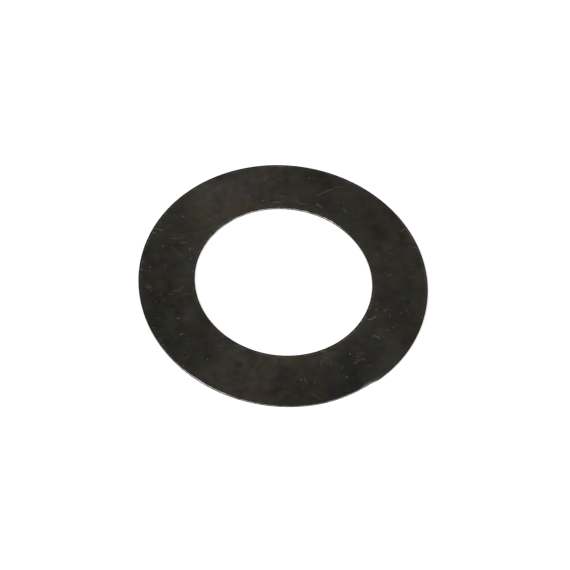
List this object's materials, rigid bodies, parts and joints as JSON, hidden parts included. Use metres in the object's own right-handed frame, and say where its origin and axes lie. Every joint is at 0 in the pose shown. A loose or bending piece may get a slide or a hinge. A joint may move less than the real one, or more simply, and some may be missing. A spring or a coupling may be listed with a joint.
{
  "type": "shim ring",
  "caption": "Thin flat steel ring that slips over a shaft and takes up end play between two faces. Both edges are sheared.",
  "frame": {"origin": "on the bore's axis, in the plane of the underside", "axes": "+Z along the bore's axis, from the underside to the top face. X and Y lie in the underside, with the rim's bruise between +X and -Y."},
  "size_m": [0.062, 0.062, 0.0006],
  "materials": {
    "dark_steel": "satin"
  },
  "bodies": {
    "root": {"shim_ring": "dark_steel"}
  },
  "joints": []
}
